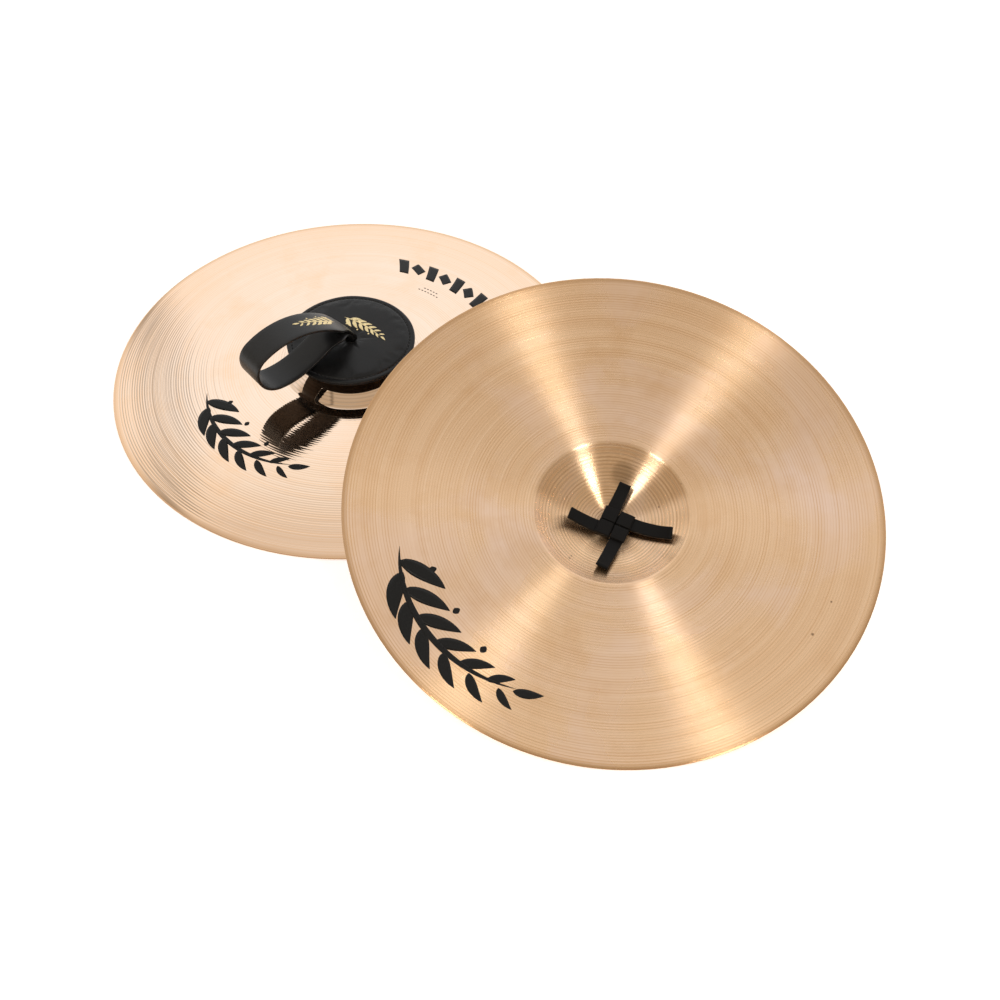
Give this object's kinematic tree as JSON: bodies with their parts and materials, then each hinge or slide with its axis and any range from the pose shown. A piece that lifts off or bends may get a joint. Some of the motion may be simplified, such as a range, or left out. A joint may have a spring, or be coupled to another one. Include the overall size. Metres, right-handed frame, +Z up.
{
  "type": "hand cymbals",
  "caption": "Lathed bronze hand cymbals with stitched black leather pads, hand straps and knotted tails; one lies bell up, the other leans upturned beside it.",
  "frame": {"origin": "on the floor, at the middle of the pair's bounding box: the lying cymbal's axis is 114 mm to -X and 105 mm to +Y, and the leaning one's is 114 mm to +X", "axes": "+Z up from the floor, +X from the lying cymbal towards the leaning one, +Y away from the side that the leaning cymbal's low rim is on"},
  "size_m": [0.6852, 0.6672, 0.1115],
  "materials": {
    "bronze": "lathed bronze, brilliant outside and satin inside",
    "pad_leather": "smooth black leather with a soft sheen",
    "pad_felt": "pressed grey felt",
    "thread": "black waxed thread",
    "strap_leather": "black leather, burnished on the cut edges"
  },
  "bodies": {
    "rear_cymbal": {"rear_cymbal_plate": "bronze"},
    "rear_pad": {"rear_pad_bottom_leather": "pad_leather", "rear_pad_core": "pad_felt", "rear_pad_top_leather": "pad_leather", "rear_pad_stitching": "thread"},
    "rear_strap": {"rear_strap_neck": "strap_leather", "rear_knot_tail_1": "strap_leather", "rear_knot_tail_2": "strap_leather", "rear_knot_tail_3": "strap_leather", "rear_knot_tail_4": "strap_leather"},
    "rear_loop": {"rear_strap_loop": "strap_leather"},
    "front_cymbal": {"front_cymbal_plate": "bronze"},
    "front_pad": {"front_pad_bottom_leather": "pad_leather", "front_pad_core": "pad_felt", "front_pad_top_leather": "pad_leather", "front_pad_stitching": "thread"},
    "front_strap": {"front_strap_neck": "strap_leather", "front_knot_tail_1": "strap_leather", "front_knot_tail_2": "strap_leather", "front_knot_tail_3": "strap_leather", "front_knot_tail_4": "strap_leather"},
    "front_loop": {"front_strap_loop": "strap_leather"}
  },
  "joints": [
    {"name": "rear_pad_spin", "type": "hinge", "parent": "rear_cymbal", "child": "rear_pad", "pos_m": [-0.114, 0.105, 0], "axis": [0, 0, 1], "continuous": true},
    {"name": "rear_strap_swivel", "type": "hinge", "parent": "rear_cymbal", "child": "rear_strap", "pos_m": [-0.114, 0.105, 0], "axis": [0, 0, 1], "range_deg": [-215, 45]},
    {"name": "rear_loop_swing", "type": "hinge", "parent": "rear_strap", "child": "rear_loop", "pos_m": [-0.114, 0.105, 0.0511], "axis": [-0.6211, 0.7837, 0], "range_deg": [0, 115]},
    {"name": "front_cymbal_lift", "type": "slide", "parent": "rear_cymbal", "child": "front_cymbal", "axis": [0, 0, 1], "range_m": [0, 0.3]},
    {"name": "front_pad_spin", "type": "hinge", "parent": "front_cymbal", "child": "front_pad", "pos_m": [0.114, -0.11179, 0.05618], "axis": [0, 0.2419, -0.9703], "continuous": true},
    {"name": "front_strap_swivel", "type": "hinge", "parent": "front_cymbal", "child": "front_strap", "pos_m": [0.114, -0.11179, 0.05618], "axis": [0, 0.2419, -0.9703], "range_deg": [-15, 215]},
    {"name": "front_loop_swing", "type": "hinge", "parent": "front_strap", "child": "front_loop", "pos_m": [0.114, -0.09943, 0.00659], "axis": [-0.9511, 0.2998, 0.0748], "range_deg": [0, 155]}
  ]
}
